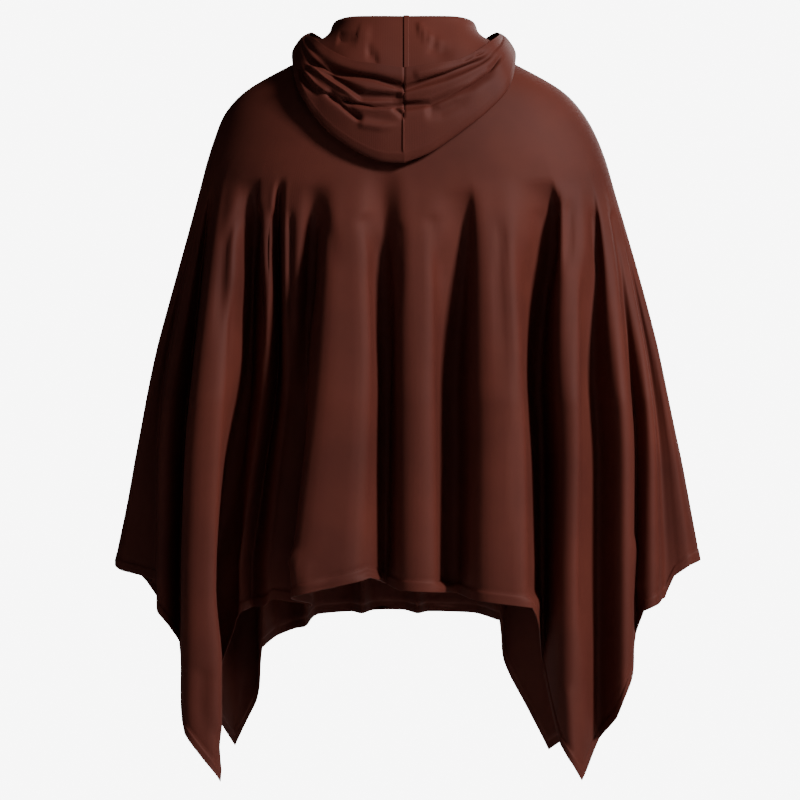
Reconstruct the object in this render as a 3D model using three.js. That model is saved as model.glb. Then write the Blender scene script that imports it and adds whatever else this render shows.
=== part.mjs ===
// A hooded poncho as it hangs on a wearer's shoulders, with the hood thrown back.
// Sizes are in millimetres. X runs to the wearer's right, Y forwards and Z up.
// The origin is the middle of the neck opening, level with the points where the cloth
// rests on the shoulders beside the neck.
import * as THREE from "three";

// ---- Driving dimensions ----
const clothThickness = 1.2; // a firm jersey
const seamGap = 0.3; // between two pieces that are sewn together
const seamStand = 1.2; // how far the hood runs on in line with the panels before it rises
const neckHalf = 75; // half the width of the neck opening
const neckBehind = 62; // how far it reaches behind and in front of the shoulder line
const neckBefore = 87;
const foldTop = -150; // above this level the cloth lies smooth
const yokeZ = -207; // level of the armpits, where most folds begin
const midZ = -467; // level of the waist
const lowZ = -675; // level of the wrists
const wristSlack = 7; // how much less the cloth drops at the wrists than beside them
const foldBlend = 25; // the height over which the smooth cloth passes into the folds
const shoulderShare = 0.22; // how far a crest's shoulders lie towards the folds beside it
const crestRound = 0.05; // how much lower than its crest a fold's shoulders are, as a share
const troughEase = 2.2; // how much faster a trough deepens than a crest rises
const crestColumns = 1; // mesh columns on each side of a fold's crest
const flankColumns = 3; // mesh columns between a crest's shoulder and the trough beside it
const yokeRows = 6; // mesh rows from the neckline to the yoke
const skirtRows = 9; // mesh rows from the yoke to the hem
const rowCrowding = 1.4; // how much closer together the rows are near the neckline
const hoodColumns = 18; // mesh columns of a hood half, from the nape to the throat
const hoodRows = 29; // mesh rows from the rim to the neck seam
const bagPoints = 14; // points that shape the bag's outer wall, from its bottom to its rim
const bottomRise = 1.6; // how far above the bag's bottom its walls part, in roll radii
const sideCrease = 0.4; // how deep a crease is at the side, as a share of its depth at the seam
const creaseFadeIn = 16; // degrees over which a crease begins and ends
const creaseFadeOut = 20;

// Half the garment's width at each height, along the shoulders and then the arms, and how far
// it reaches behind and in front of the shoulder line. Corner says how square the section is.
const sections = [
  { z: 30, half: 55, behind: 0, before: 0, corner: 2.0 },
  { z: 0, half: neckHalf, behind: 4, before: 4, corner: 2.0 },
  { z: -8, half: 94, behind: 44, before: 28, corner: 2.0 },
  { z: -18, half: 117, behind: 62, before: 42, corner: 2.0 },
  { z: -38, half: 158, behind: 84, before: 62, corner: 2.1 },
  { z: -64, half: 203, behind: 100, before: 80, corner: 2.2 },
  { z: -90, half: 229, behind: 110, before: 94, corner: 2.3 },
  { z: -129, half: 249, behind: 119, before: 110, corner: 2.4 },
  { z: yokeZ, half: 272, behind: 126, before: 128, corner: 2.5 },
  { z: midZ, half: 338, behind: 128, before: 130, corner: 2.5 },
  { z: lowZ, half: 380, behind: 128, before: 130, corner: 2.5 },
  { z: -960, half: 430, behind: 128, before: 130, corner: 2.5 },
];

// One row for each fold that stands out of a panel, from one wrist to the other, to the right
// as the panel is faced from outside. yokeX, midX and lowX say where its crest runs at the
// yoke, the waist and the wrists. midHalf and lowHalf are half the crest's width there, and
// midOut and lowOut how far it stands from the shoulder line. start is where it begins, and
// left and right are the heights of the cloth's edge at its two sides. gutterX, gutter and hem
// place the trough on its right: across, out from the shoulder line, and its edge.
const backFolds = [
  { yokeX: -267, midX: -330, midHalf: 5, midOut: 32, lowX: -352, lowHalf: 13, lowOut: 28, start: -262,
    left: -687, right: -694, gutterX: -329, gutter: 28, hem: -699 },
  { yokeX: -256, midX: -304, midHalf: 7, midOut: 72, lowX: -309, lowHalf: 7, lowOut: 68, start: -195,
    left: -733, right: -750, gutterX: -291, gutter: 36, hem: -778 },
  { yokeX: -224, midX: -240, midHalf: 22, midOut: 134, lowX: -254, lowHalf: 24, lowOut: 128, start: -188,
    left: -884, right: -948, gutterX: -252, gutter: 24, hem: -850 },
  { yokeX: -184, midX: -186, midHalf: 5, midOut: 100, lowX: -216, lowHalf: 5, lowOut: 70, start: -188,
    left: -748, right: -738, gutterX: -200, gutter: 26, hem: -734 },
  { yokeX: -148, midX: -152, midHalf: 6, midOut: 96, lowX: -176, lowHalf: 6, lowOut: 62, start: -195,
    left: -732, right: -722, gutterX: -118, gutter: 84, hem: -730 },
  { yokeX: -80, midX: -76, midHalf: 40, midOut: 150, lowX: -92, lowHalf: 50, lowOut: 158, start: -172,
    left: -714, right: -690, gutterX: -23, gutter: 98, hem: -700 },
  { yokeX: 10, midX: 17, midHalf: 22, midOut: 146, lowX: 18, lowHalf: 22, lowOut: 154, start: -200,
    left: -706, right: -708, gutterX: 66, gutter: 88, hem: -712 },
  { yokeX: 110, midX: 124, midHalf: 30, midOut: 152, lowX: 126, lowHalf: 34, lowOut: 162, start: -188,
    left: -718, right: -727, gutterX: 177, gutter: 52, hem: -806 },
  { yokeX: 210, midX: 208, midHalf: 15, midOut: 142, lowX: 208, lowHalf: 17, lowOut: 140, start: -192,
    left: -905, right: -945, gutterX: 246, gutter: 78, hem: -900 },
  { yokeX: 238, midX: 262, midHalf: 10, midOut: 124, lowX: 274, lowHalf: 11, lowOut: 122, start: -195,
    left: -868, right: -815, gutterX: 292, gutter: 62, hem: -764 },
  { yokeX: 254, midX: 299, midHalf: 7, midOut: 84, lowX: 309, lowHalf: 8, lowOut: 86, start: -262,
    left: -728, right: -710, gutterX: 333, gutter: 32, hem: -724 },
  { yokeX: 267, midX: 330, midHalf: 4, midOut: 36, lowX: 357, lowHalf: 11, lowOut: 32, start: -262,
    left: -694, right: -680, gutterX: 0, gutter: 0, hem: 0 },
];
const frontFolds = [
  { yokeX: -267, midX: -330, midHalf: 4, midOut: 36, lowX: -356, lowHalf: 11, lowOut: 34, start: -262,
    left: -682, right: -694, gutterX: -333, gutter: 30, hem: -704 },
  { yokeX: -254, midX: -302, midHalf: 8, midOut: 84, lowX: -308, lowHalf: 8, lowOut: 78, start: -200,
    left: -738, right: -756, gutterX: -287, gutter: 42, hem: -790 },
  { yokeX: -236, midX: -260, midHalf: 13, midOut: 124, lowX: -262, lowHalf: 13, lowOut: 122, start: -195,
    left: -836, right: -884, gutterX: -226, gutter: 66, hem: -900 },
  { yokeX: -192, midX: -174, midHalf: 24, midOut: 138, lowX: -166, lowHalf: 28, lowOut: 134, start: -200,
    left: -936, right: -828, gutterX: -120, gutter: 62, hem: -770 },
  { yokeX: -84, midX: -70, midHalf: 26, midOut: 150, lowX: -64, lowHalf: 30, lowOut: 156, start: -220,
    left: -756, right: -752, gutterX: -18, gutter: 108, hem: -752 },
  { yokeX: 22, midX: 22, midHalf: 20, midOut: 148, lowX: 20, lowHalf: 20, lowOut: 156, start: -240,
    left: -748, right: -748, gutterX: 56, gutter: 106, hem: -752 },
  { yokeX: 96, midX: 94, midHalf: 20, midOut: 152, lowX: 94, lowHalf: 22, lowOut: 156, start: -215,
    left: -752, right: -756, gutterX: 130, gutter: 66, hem: -766 },
  { yokeX: 160, midX: 158, midHalf: 10, midOut: 126, lowX: 158, lowHalf: 12, lowOut: 112, start: -200,
    left: -774, right: -786, gutterX: 184, gutter: 56, hem: -800 },
  { yokeX: 214, midX: 214, midHalf: 15, midOut: 136, lowX: 215, lowHalf: 17, lowOut: 132, start: -200,
    left: -866, right: -936, gutterX: 247, gutter: 66, hem: -882 },
  { yokeX: 238, midX: 266, midHalf: 10, midOut: 112, lowX: 274, lowHalf: 10, lowOut: 108, start: -205,
    left: -846, right: -806, gutterX: 296, gutter: 44, hem: -776 },
  { yokeX: 254, midX: 304, midHalf: 6, midOut: 72, lowX: 314, lowHalf: 7, lowOut: 70, start: -262,
    left: -752, right: -734, gutterX: 334, gutter: 28, hem: -708 },
  { yokeX: 267, midX: 330, midHalf: 4, midOut: 34, lowX: 356, lowHalf: 11, lowOut: 30, start: -262,
    left: -696, right: -684, gutterX: 0, gutter: 0, hem: 0 },
];

// Sections of the hood's left half around the neck, from the nape at 0 degrees to the throat.
// Its cloth goes from the neck seam up to the top roll, down to the bottom of the bag on the
// back, and up again to the rim of the face opening.
const hoodStations = [
  { turn: 0, top: [0, -63, 24], bottom: [0, -135, -172], rim: [0, -135, -49], bulge: 17, belly: 5, roll: 5 },
  { turn: 20, top: [-34, -60, 24], bottom: [-37, -134, -168], rim: [-36, -134, -44],
    bulge: 17, belly: 6, roll: 5 },
  { turn: 40, top: [-63, -48, 24], bottom: [-76, -131, -146], rim: [-67, -126, -38],
    bulge: 16, belly: 7, roll: 5 },
  { turn: 60, top: [-82, -26, 22], bottom: [-108, -122, -115], rim: [-94, -110, -24],
    bulge: 14, belly: 6, roll: 5 },
  { turn: 78, top: [-90, -5, 19], bottom: [-132, -106, -76], rim: [-112, -86, -9],
    bulge: 12, belly: 4, roll: 5 },
  { turn: 95, top: [-91, 14, 13], bottom: [-142, -62, -37], rim: [-122, -46, 2],
    bulge: 10, belly: 3, roll: 5 },
  { turn: 112, top: [-86, 36, 2], bottom: [-141, -8, -13], rim: [-118, 0, 10],
    bulge: 8, belly: 3, roll: 4.5 },
  { turn: 134, top: [-66, 62, -20], bottom: [-104, 56, -24], rim: [-94, 58, -2],
    bulge: 4, belly: 2, roll: 4 },
  { turn: 158, top: [-34, 86, -48], bottom: [-50, 98, -58], rim: [-56, 104, -48],
    bulge: 1, belly: 1, roll: 2.5 },
  { turn: 180, top: [0, 92, -62], bottom: [0, 101, -71], rim: [0, 109, -82], bulge: 0, belly: 0, roll: 1.2 },
];

// How the cloth rounds the hood's top roll, outwards and upwards from its top, in roll radii.
const topRoll = [
  { across: -1, up: -2 },
  { across: -0.7, up: -0.5 },
  { across: 0, up: 0 },
  { across: 0.8, up: -0.5 },
  { across: 1.8, up: -1.8 },
];

// The creases between the swags of the hood's bag, as shares of the way from its bottom to its
// rim: at the centre seam and at the side. Depth is in millimetres, and the crease is deep
// between the two turns.
const leftCreases = [
  { seam: 0.8, side: 0.74, width: 0.08, depth: 8, from: 0, to: 105 },
  { seam: 0.6, side: 0.52, width: 0.08, depth: 8, from: 0, to: 100 },
  { seam: 0.38, side: 0.32, width: 0.08, depth: 7, from: 16, to: 90 },
];
const rightCreases = [
  { seam: 0.8, side: 0.76, width: 0.08, depth: 7, from: 0, to: 105 },
  { seam: 0.58, side: 0.56, width: 0.08, depth: 9, from: 0, to: 84 },
];

// ---- Helpers ----
const { lerp, clamp, smoothstep, degToRad } = THREE.MathUtils;
const up = new THREE.Vector3(0, 0, 1);

// The value of a column of a table, eased along a smooth curve between its rows. The key
// column rises or falls steadily from row to row.
function fromTable(table, key, value, column) {
  const sign = Math.sign(table[table.length - 1][key] - table[0][key]);
  const found = table.findIndex((row) => (row[key] - value) * sign > 0);
  const next = found < 0 ? table.length - 1 : Math.max(found, 1);
  const rows = [next - 2, next - 1, next, next + 1].map((i) => table[clamp(i, 0, table.length - 1)]);
  const [k0, k1, k2, k3] = rows.map((row) => row[key]);
  const [v0, v1, v2, v3] = rows.map((row) => column(row));
  const gap = k2 - k1;
  const share = clamp((value - k1) / gap, 0, 1);
  const slope = (v2 - v1) / gap;
  const before = k1 === k0 ? slope : (slope + (v1 - v0) / (k1 - k0)) / 2;
  const after = k3 === k2 ? slope : (slope + (v3 - v2) / (k3 - k2)) / 2;
  const square = share * share;
  const cube = square * share;
  return (
    (2 * cube - 3 * square + 1) * v1 +
    (cube - 2 * square + share) * gap * before +
    (3 * square - 2 * cube) * v2 +
    (cube - square) * gap * after
  );
}

const sectionAt = (z, column) => fromTable(sections, "z", z, (row) => row[column]);

// ---- The panels ----

// A point of the smooth garment at a height, where side runs from -1 to 1 across a panel.
function smoothPoint(side, z, depthColumn) {
  const corner = sectionAt(z, "corner");
  const bow = Math.max(0, 1 - Math.abs(side) ** corner) ** (1 / corner);
  return new THREE.Vector3(side * sectionAt(z, "half"), -sectionAt(z, depthColumn) * bow, z);
}

// The neckline is an ellipse as seen from above, and this is where it lies on the garment.
function necklineAt(side, depthColumn) {
  const x = neckHalf * side;
  const y = (depthColumn === "behind" ? neckBehind : neckBefore) * Math.sqrt(1 - side * side);
  let [low, high] = [yokeZ, 0];
  for (let halving = 0; halving < 40; halving += 1) {
    const z = (low + high) / 2;
    const corner = sectionAt(z, "corner");
    const reach = (x / sectionAt(z, "half")) ** 2;
    const share = reach ** (corner / 2) + (y / sectionAt(z, depthColumn)) ** corner;
    if (share < 1) low = z;
    else high = z;
  }
  return { z: high, side: clamp(x / sectionAt(high, "half"), -1, 1) };
}

// Where a line that starts at a share of the neckline runs on the smooth garment.
function smoothLine(side, z, depthColumn) {
  const neck = necklineAt(side, depthColumn);
  const share = smoothstep((neck.z - z) / (neck.z - yokeZ), 0, 1);
  return smoothPoint(lerp(neck.side, side, share), z, depthColumn);
}

// The lines of a panel that its cloth follows downwards: the arm line, then for each fold the
// left shoulder of the crest, the crest, its right shoulder and the trough, and the arm line.
function foldLines(folds) {
  const yokeHalf = sectionAt(yokeZ, "half");
  const armLine = (side, edge) => ({
    side,
    start: yokeZ,
    ease: 1,
    mid: new THREE.Vector3(side * sectionAt(midZ, "half"), 0, midZ),
    low: new THREE.Vector3(side * sectionAt(lowZ, "half"), 0, lowZ),
    edge: edge + wristSlack,
  });
  const lines = [armLine(-1, folds[0].left)];
  folds.forEach((fold, i) => {
    const before = folds[i - 1]?.yokeX ?? -yokeHalf;
    const after = folds[i + 1]?.yokeX ?? yokeHalf;
    const crestLine = (across, yokeX, edge) => {
      const round = 1 - crestRound * across ** 2;
      return {
        side: yokeX / yokeHalf,
        start: fold.start,
        ease: 1,
        mid: new THREE.Vector3(fold.midX + across * fold.midHalf, -fold.midOut * round, midZ),
        low: new THREE.Vector3(fold.lowX + across * fold.lowHalf, -fold.lowOut * round, lowZ),
        edge,
      };
    };
    lines.push(crestLine(-1, lerp(fold.yokeX, before, shoulderShare), fold.left));
    lines.push(crestLine(0, fold.yokeX, (fold.left + fold.right) / 2));
    lines.push(crestLine(1, lerp(fold.yokeX, after, shoulderShare), fold.right));
    const next = folds[i + 1];
    if (!next) return;
    const midX = (fold.midX + fold.midHalf + next.midX - next.midHalf) / 2;
    lines.push({
      side: (fold.yokeX + after) / 2 / yokeHalf,
      start: fold.start,
      ease: troughEase,
      mid: new THREE.Vector3(midX, -fold.gutter, midZ),
      low: new THREE.Vector3(fold.gutterX, -fold.gutter, lowZ),
      edge: fold.hem,
    });
  });
  lines.push(armLine(1, folds[folds.length - 1].right));
  return lines;
}

// Where a fold line passes a height. Troughs deepen faster than crests rise.
function linePoint(line, z, depthColumn) {
  const point = smoothLine(line.side, z, depthColumn);
  const hung = line.mid.clone().lerp(line.low, Math.max(0, (midZ - z) / (midZ - lowZ)));
  const grown = clamp((line.start - z) / (line.start - midZ), 0, 1);
  point.x = lerp(point.x, hung.x, smoothstep(foldTop - z, 0, foldTop - midZ));
  point.y = lerp(point.y, hung.y, 1 - (1 - grown) ** line.ease);
  return point;
}

// The panel's horizontal section at a height, as a curve from arm line to arm line. It is led
// on past both ends, mirrored, so that the two panels meet without a crease.
function sectionCurve(lines, z, depthColumn) {
  const points = lines.map((line) => linePoint(line, z, depthColumn));
  const mirrored = (p) => new THREE.Vector3(p.x, -p.y, z);
  const all = [mirrored(points[1]), ...points, mirrored(points[points.length - 2])];
  return new THREE.CatmullRomCurve3(all, false, "centripetal");
}

// A panel's outer surface as a function of across, from 0 to 1, and down, from 0 to 1.
function panelSurface(folds, depthColumn) {
  const lines = foldLines(folds);
  const curves = new Map();
  const yokeShare = yokeRows / (yokeRows + skirtRows);
  return (across, down) => {
    const at = across * (lines.length - 1);
    const index = Math.min(Math.floor(at), lines.length - 2);
    const edge = lerp(lines[index].edge, lines[index + 1].edge, at - index);
    const side = lerp(lines[index].side, lines[index + 1].side, at - index);
    const neckZ = necklineAt(side, depthColumn).z;
    const z =
      down < yokeShare
        ? lerp(neckZ, yokeZ, (down / yokeShare) ** rowCrowding)
        : lerp(yokeZ, edge, (down - yokeShare) / (1 - yokeShare));
    const point = smoothLine(side, z, depthColumn);
    if (z < foldTop) {
      const key = z.toFixed(3);
      if (!curves.has(key)) curves.set(key, sectionCurve(lines, z, depthColumn));
      const folded = curves.get(key).getPoint((at + 1) / (lines.length + 1));
      point.lerp(folded, clamp((foldTop - z) / foldBlend, 0, 1));
    }
    point.y = Math.min(point.y, -seamGap / 2);
    return point;
  };
}

// Where the mesh columns of a panel lie across it, from 0 to 1.
function panelPlaces(folds) {
  const last = foldLines(folds).length - 1;
  const places = [];
  for (let line = 0; line < last; line += 1) {
    const columns = line % 4 === 1 || line % 4 === 2 ? crestColumns : flankColumns;
    for (let i = 0; i < columns; i += 1) places.push((line + i / columns) / last);
  }
  return [...places, 1];
}

// ---- The hood ----

// The neck seam of the hood's left half, led on beyond the neckline of the panels.
function neckSeam(turn, beyond) {
  const angle = degToRad(turn);
  const depthColumn = turn <= 90 ? "behind" : "before";
  const neck = necklineAt(-Math.sin(angle), depthColumn);
  const edge = smoothPoint(neck.side, neck.z, depthColumn);
  const drop = 2;
  const below = smoothPoint(neck.side, neck.z - drop, depthColumn);
  edge.addScaledVector(edge.clone().sub(below).normalize(), beyond);
  if (turn > 90) edge.y *= -1;
  return edge;
}

// How far the creases draw the bag's wall in, at a share of the way from bottom to rim.
function creaseDepth(creases, share, turn) {
  const sideways = clamp(turn / 90, 0, 1);
  return creases.reduce((sum, crease) => {
    const at = lerp(crease.seam, crease.side, sideways);
    const begun = smoothstep(turn, crease.from - creaseFadeIn, crease.from);
    const ended = smoothstep(turn, crease.to - creaseFadeOut, crease.to);
    const depth = crease.depth * lerp(1, sideCrease, sideways) * begun * (1 - ended);
    return sum + depth * Math.exp(-(((share - at) / crease.width) ** 2));
  }, 0);
}

// The profile of the hood's left half at a turn, from the neck seam to the rim.
function hoodProfile(creases, turn) {
  const station = (column) => fromTable(hoodStations, "turn", turn, column);
  const place = (name) => new THREE.Vector3(...[0, 1, 2].map((axis) => station((row) => row[name][axis])));
  const [top, bottom, rim] = [place("top"), place("bottom"), place("rim")];
  const [seam, stand] = [neckSeam(turn, seamGap), neckSeam(turn, seamGap + seamStand)];
  const roll = station((row) => row.roll);
  const across = bottom.clone().sub(top).setZ(0).normalize();
  const along = bottom.clone().sub(top).normalize();
  const away = up.clone().addScaledVector(along, -along.z).normalize();
  const rimwards = rim.clone().sub(bottom).normalize();
  const spread = (roll * (1 - along.dot(rimwards))) / 2;
  const parted = bottomRise * roll;
  const inner = bottom.clone().addScaledVector(along, -parted).addScaledVector(away, -spread);
  const outer = bottom.clone().addScaledVector(rimwards, parted).addScaledVector(away, spread);
  const rounded = topRoll.map((row) =>
    top.clone().addScaledVector(across, row.across * roll).addScaledVector(up, row.up * roll),
  );
  const rising = stand.clone().lerp(top, 0.35).addScaledVector(across, -roll / 2);
  const points = [seam, stand, rising, ...rounded];
  const over = rounded[rounded.length - 1];
  for (const share of [0.25, 0.5, 0.75]) {
    const bulge = station((row) => row.bulge) * Math.sin(Math.PI * share);
    points.push(over.clone().lerp(inner, share).addScaledVector(away, bulge));
  }
  points.push(inner, bottom);
  for (let i = 0; i <= bagPoints; i += 1) {
    const share = i / bagPoints;
    const belly = station((row) => row.belly) * Math.sin(Math.PI * share);
    const swell = belly - creaseDepth(creases, share, turn);
    points.push(outer.clone().lerp(rim, share).addScaledVector(away, swell));
  }
  return new THREE.CatmullRomCurve3(points, false, "centripetal");
}

// A hood half's outer surface. The left half runs from the throat to the nape and the right
// half, its mirror image, from the nape to the throat.
function hoodSurface(creases, sign) {
  const profiles = new Map();
  return (across, down) => {
    const turn = 180 * (sign < 0 ? 1 - across : across);
    const key = turn.toFixed(3);
    if (!profiles.has(key)) profiles.set(key, hoodProfile(creases, turn));
    const point = profiles.get(key).getPoint(1 - down);
    point.x = sign * Math.max(-point.x, seamGap / 2);
    return point;
  };
}

// ---- Walls ----

// Splits the quads of a box's front along the same diagonal as those of its back, so that a
// wall that is bent from it keeps its thickness where it twists.
function matchDiagonals(geometry) {
  const index = geometry.getIndex();
  const front = geometry.groups[4];
  for (let i = front.start; i < front.start + front.count; i += 6) {
    const [a, b, c, d] = [0, 1, 4, 2].map((corner) => index.getX(i + corner));
    [a, b, c, a, c, d].forEach((corner, j) => index.setX(i + j, corner));
  }
}

// Bends a flat box into a wall whose middle follows a surface, with a mesh column at each of
// the given places across it. The surface runs to the right and downwards as it is faced from
// outside. Its left and right edges are seams in a plane across the given axis.
function clothWall(surface, places, rows, seamAxis) {
  const columns = places.length - 1;
  const geometry = new THREE.BoxGeometry(1, 1, 1, columns, rows, 1);
  matchDiagonals(geometry);
  const position = geometry.getAttribute("position");
  const step = 1e-3;
  for (let i = 0; i < position.count; i += 1) {
    const across = places[Math.round((position.getX(i) + 0.5) * columns)];
    const down = clamp(0.5 - position.getY(i), 0, 1);
    const point = surface(across, down);
    const side = Math.sign(position.getZ(i));
    const [left, right] = [Math.max(across - step, 0), Math.min(across + step, 1)];
    const [above, below] = [Math.max(down - step, 0), Math.min(down + step, 1)];
    const alongRow = surface(right, down).sub(surface(left, down));
    const alongColumn = surface(across, below).sub(surface(across, above));
    const outwards = alongColumn.cross(alongRow);
    if (Math.min(across, 1 - across) < step) outwards[seamAxis] = 0;
    point.addScaledVector(outwards.normalize(), (side * clothThickness) / 2);
    position.setXYZ(i, point.x, point.y, point.z);
  }
  geometry.computeVertexNormals();
  return geometry;
}

function piece(name, geometry) {
  const material = new THREE.MeshStandardMaterial({ color: 0x5c3027, roughness: 0.86, metalness: 0 });
  material.name = name;
  const mesh = new THREE.Mesh(geometry, material);
  mesh.name = name;
  return mesh;
}

function panel(name, folds, depthColumn) {
  const surface = panelSurface(folds, depthColumn);
  return piece(name, clothWall(surface, panelPlaces(folds), yokeRows + skirtRows, "y"));
}

function hoodHalf(name, creases, sign) {
  const places = Array.from({ length: hoodColumns + 1 }, (_, i) => i / hoodColumns);
  return piece(name, clothWall(hoodSurface(creases, sign), places, hoodRows, "x"));
}

// ---- The garment ----
const poncho = new THREE.Group();
poncho.add(panel("back_panel", backFolds, "behind"));
const front = panel("front_panel", frontFolds, "before");
front.rotation.z = Math.PI;
poncho.add(front);
poncho.add(hoodHalf("hood_left", leftCreases, -1));
poncho.add(hoodHalf("hood_right", rightCreases, 1));

export default poncho;
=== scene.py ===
# A hooded poncho in brown jersey, as it hangs on a wearer's shoulders with the hood thrown back.
# Tables and shaping are in millimetres, and a mesh is made in metres.
import math

import bmesh
import bpy
import numpy as np
from mathutils import Matrix, Vector


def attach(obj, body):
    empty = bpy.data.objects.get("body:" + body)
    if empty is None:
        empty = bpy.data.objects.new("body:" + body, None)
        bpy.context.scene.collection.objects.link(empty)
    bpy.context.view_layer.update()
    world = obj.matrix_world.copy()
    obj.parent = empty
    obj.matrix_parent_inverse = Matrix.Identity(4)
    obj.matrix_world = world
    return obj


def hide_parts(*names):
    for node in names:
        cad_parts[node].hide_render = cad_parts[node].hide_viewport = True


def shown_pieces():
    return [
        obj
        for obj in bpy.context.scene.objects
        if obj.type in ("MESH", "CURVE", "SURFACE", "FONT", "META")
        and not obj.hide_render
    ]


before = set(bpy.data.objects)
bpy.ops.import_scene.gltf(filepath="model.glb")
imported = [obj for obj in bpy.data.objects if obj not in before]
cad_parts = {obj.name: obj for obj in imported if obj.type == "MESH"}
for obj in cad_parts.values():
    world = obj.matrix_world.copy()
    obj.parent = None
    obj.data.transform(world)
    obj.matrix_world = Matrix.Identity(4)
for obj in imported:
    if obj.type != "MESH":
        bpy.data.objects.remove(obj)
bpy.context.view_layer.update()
mm = 0.001

# what all the pieces share
garment = {
    "seamGap": 0.3,  # between the hood and the neckline that it is sewn to
    "armGap": 0.02,  # between the two panels along the arms
    "seamStand": 1.2,  # how far the hood runs on in line with the panels before it rises
    "clothThickness": 1.0,
    "neckHalf": 75,
    "neckHalvings": 40,  # how often the range of the neckline's height is halved to find it
    "neckBehind": 62,
    "neckBefore": 87,
    "leanTop": -90,  # above this level the garment sits evenly about the neck
    "foldTop": -150,  # above this level the cloth lies smooth
    "foldBlend": 25,  # the height over which the folds come in
    "yokeZ": -207,  # level of the armpits
    "midZ": -467,  # level of the waist
    "lowZ": -675,  # level of the wrists
    "wristSlack": 7,  # how much higher the edge ends at the arm line than beside it
    "shoulderShare": 0.22,  # how far a crest's sides begin towards the folds beside it
    "crestRound": 0.05,  # how much further in a crest's sides lie than its middle
    "troughEase": 2.2,  # how early a trough sinks in
    "bendRound": 0.3,  # how softly the folds bend at the waist
    "widthRound": 0.06,  # how softly the folds stop spreading there
}

# Half the width at each height, and the reach behind and in front of the shoulder line.
# Corner says how square the section is, and lean how far the garment has slipped to the right.
sections = [
    {"z": 30, "half": 55, "behind": 0, "before": 0, "corner": 2.0, "lean": 0},
    {"z": 0, "half": 75, "behind": 4, "before": 4, "corner": 2.0, "lean": 0},
    {"z": -8, "half": 94, "behind": 44, "before": 28, "corner": 2.0, "lean": 0},
    {"z": -18, "half": 117, "behind": 62, "before": 42, "corner": 2.0, "lean": 0},
    {"z": -38, "half": 158, "behind": 84, "before": 62, "corner": 2.1, "lean": 0},
    {"z": -64, "half": 203, "behind": 100, "before": 80, "corner": 2.2, "lean": 0},
    {"z": -90, "half": 229, "behind": 110, "before": 94, "corner": 2.3, "lean": 0},
    {"z": -129, "half": 249, "behind": 119, "before": 110, "corner": 2.4, "lean": 2.5},
    {"z": -207, "half": 272, "behind": 126, "before": 128, "corner": 2.5, "lean": 4},
    {"z": -467, "half": 338, "behind": 128, "before": 130, "corner": 2.5, "lean": 8},
    {"z": -675, "half": 380, "behind": 128, "before": 130, "corner": 2.5, "lean": 5},
    {"z": -960, "half": 430, "behind": 128, "before": 130, "corner": 2.5, "lean": 5},
]


# ---- reading tables ----
def smoothStep(value, low, high):
    share = np.clip((value - low) / (high - low), 0, 1)
    return share * share * (3 - 2 * share)


def eased(table, key, column):
    # a smooth curve through one column of a table, as a function of its key column
    rows = sorted(table, key=lambda row: row[key])
    keys = np.array([row[key] for row in rows], float)
    values = np.array([row[column] for row in rows], float)
    slopes = (np.diff(values, axis=0).T / np.diff(keys)).T
    tangents = np.concatenate([slopes[:1], (slopes[1:] + slopes[:-1]) / 2, slopes[-1:]])

    def at(value):
        value = np.asarray(value, float)
        i = np.clip(np.searchsorted(keys, value, side="right") - 1, 0, len(keys) - 2)
        gap = keys[i + 1] - keys[i]
        share = np.clip((value - keys[i]) / gap, 0, 1)
        if values.ndim > 1:
            share, gap = share[..., None], gap[..., None]
        square, cube = share**2, share**3
        return (
            (2 * cube - 3 * square + 1) * values[i]
            + (cube - 2 * square + share) * gap * tangents[i]
            + (3 * square - 2 * cube) * values[i + 1]
            + (cube - square) * gap * tangents[i + 1]
        )

    return at


halfAt = eased(sections, "z", "half")
cornerAt = eased(sections, "z", "corner")
leanAt = eased(sections, "z", "lean")
depthAt = {"behind": eased(sections, "z", "behind"), "before": eased(sections, "z", "before")}


def splinePoint(p0, p1, p2, p3, share):
    # centripetal spline between p1 and p2
    spans = [np.maximum(((b - a) ** 2).sum(-1), 0) ** 0.25 for a, b in ((p0, p1), (p1, p2), (p2, p3))]
    middle = np.where(spans[1] < 1e-4, 1.0, spans[1])
    first = np.where(spans[0] < 1e-4, middle, spans[0])[..., None]
    last = np.where(spans[2] < 1e-4, middle, spans[2])[..., None]
    middle = middle[..., None]
    t1 = ((p1 - p0) / first - (p2 - p0) / (first + middle) + (p2 - p1) / middle) * middle
    t2 = ((p2 - p1) / middle - (p3 - p1) / (middle + last) + (p3 - p2) / last) * middle
    w = np.asarray(share)[..., None]
    return p1 + t1 * w + (-3 * p1 + 3 * p2 - 2 * t1 - t2) * w**2 + (2 * p1 - 2 * p2 + t1 + t2) * w**3


# ---- the smooth garment under the folds ----
def acrossAt(side, z, depthColumn):
    lean = np.where(np.asarray(z) < garment["leanTop"], leanAt(z), 0)
    return side * halfAt(z) + (lean if depthColumn == "behind" else -lean)


def smoothPoint(side, z, depthColumn):
    side, z = np.broadcast_arrays(np.asarray(side, float), np.asarray(z, float))
    corner = cornerAt(z)
    bow = np.maximum(0, 1 - np.abs(side) ** corner) ** (1 / corner)
    return np.stack([acrossAt(side, z, depthColumn), -depthAt[depthColumn](z) * bow, z], -1)


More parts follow.
